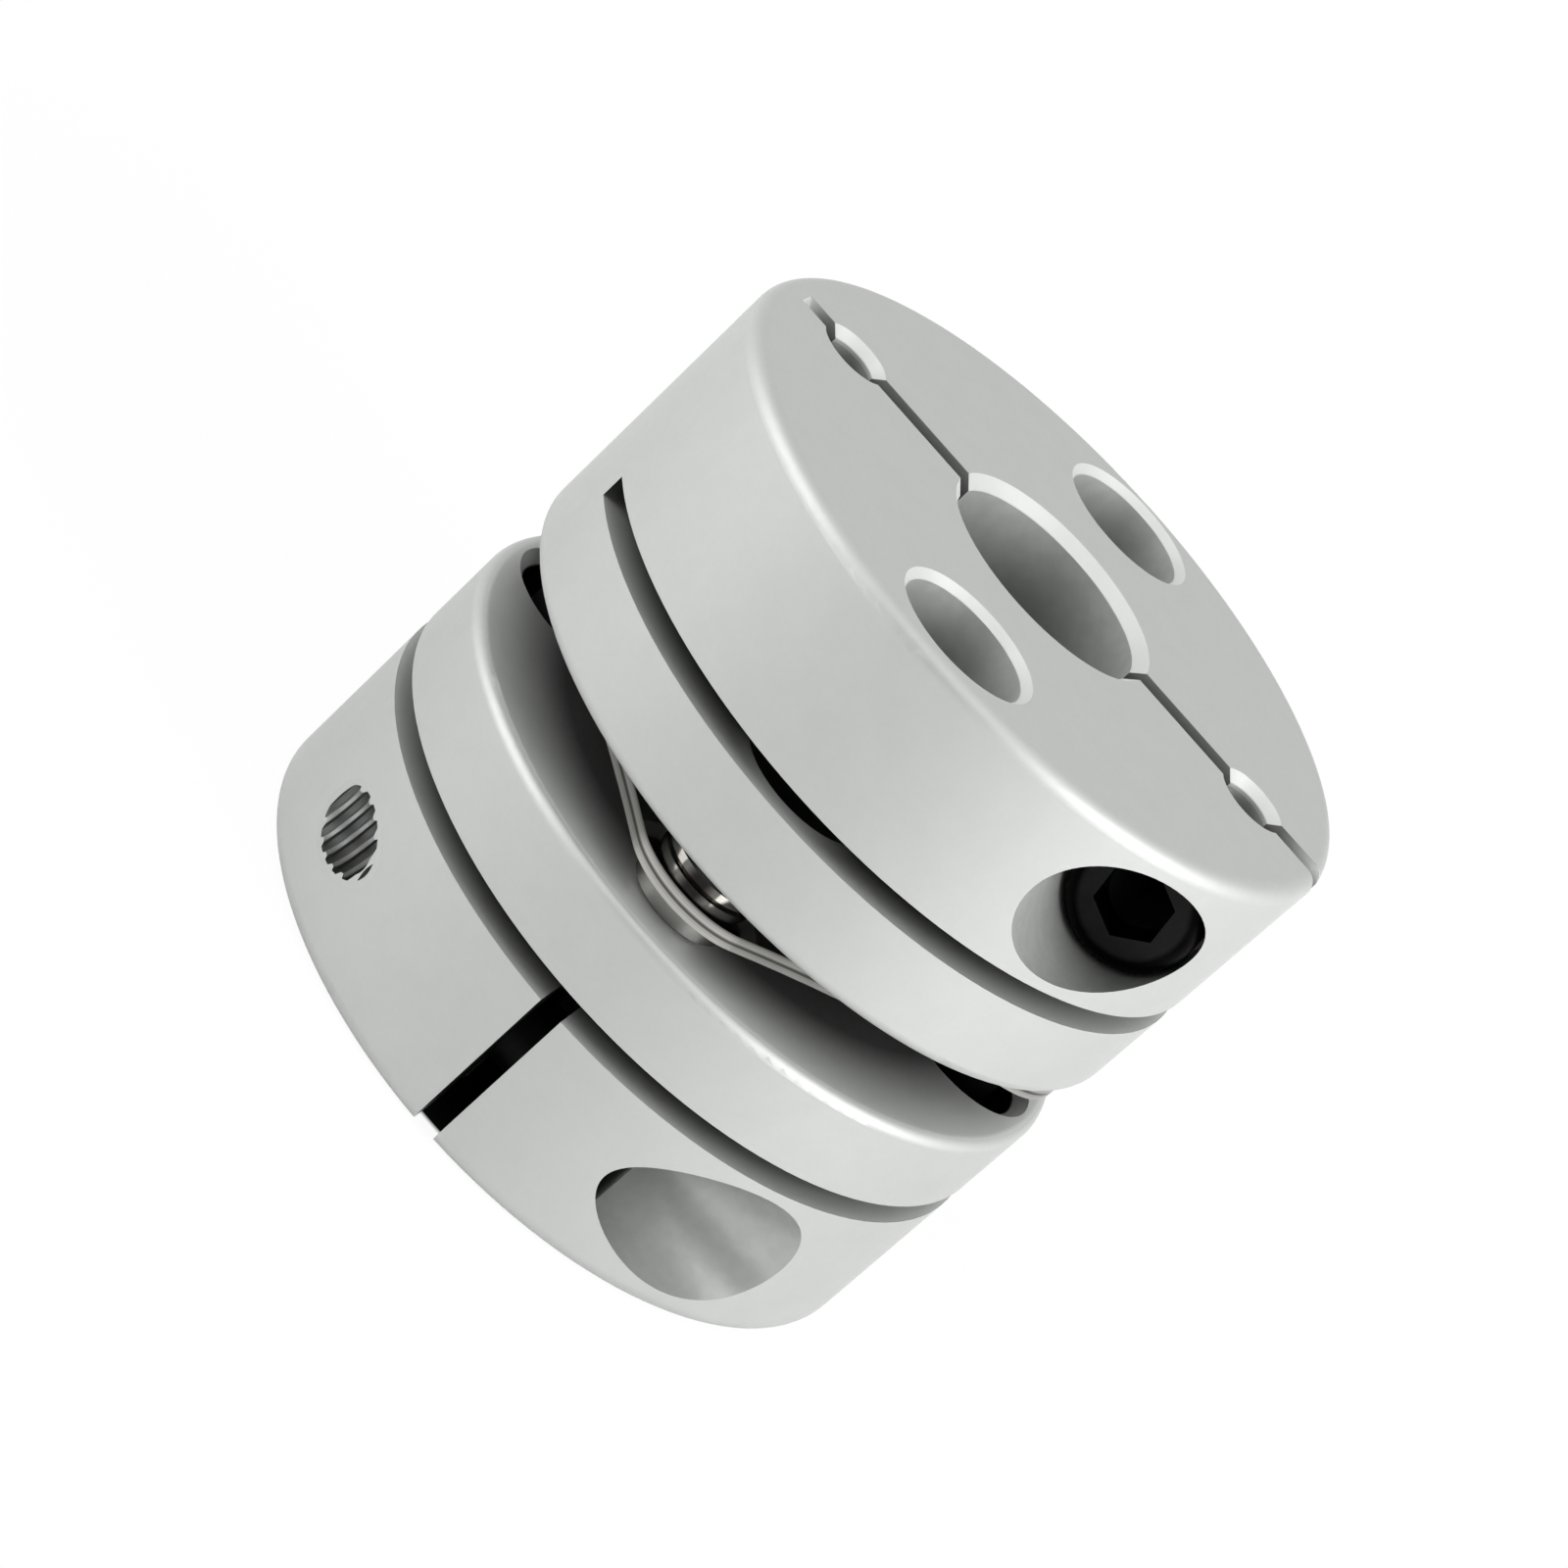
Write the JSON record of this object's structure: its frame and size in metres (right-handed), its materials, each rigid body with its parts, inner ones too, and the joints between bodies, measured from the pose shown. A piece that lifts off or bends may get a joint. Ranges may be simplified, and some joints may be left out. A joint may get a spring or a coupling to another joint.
{
  "type": "shaft coupling",
  "caption": "Clamping disc coupling for two shafts in line: split aluminium hubs joined through a thin ring of spring steel leaves.",
  "frame": {"origin": "on the shaft axis, midway between the two hubs", "axes": "+Z along the shaft axis towards the upper hub; the upper hub's slit opens towards +X and its clamp screw goes in from -Y"},
  "size_m": [0.056, 0.056, 0.051],
  "materials": {
    "hub": "satin, fine even grain",
    "black_screw": "black oxide",
    "disc_screw": "black oxide",
    "leaf": "bright rolled stainless",
    "ring": "bright turned stainless"
  },
  "bodies": {
    "root": {"upper_hub": "hub", "lower_hub": "hub", "upper_clamp_screw": "black_screw", "lower_clamp_screw": "black_screw", "disc_leaf_1": "leaf", "disc_leaf_2": "leaf", "disc_leaf_3": "leaf", "disc_leaf_4": "leaf", "upper_disc_screw_right": "disc_screw", "upper_collar_right": "ring", "upper_washer_right": "ring", "upper_disc_screw_left": "disc_screw", "upper_collar_left": "ring", "upper_washer_left": "ring", "lower_disc_screw_front": "disc_screw", "lower_collar_front": "ring", "lower_washer_front": "ring", "lower_disc_screw_back": "disc_screw", "lower_collar_back": "ring", "lower_washer_back": "ring"}
  },
  "joints": []
}
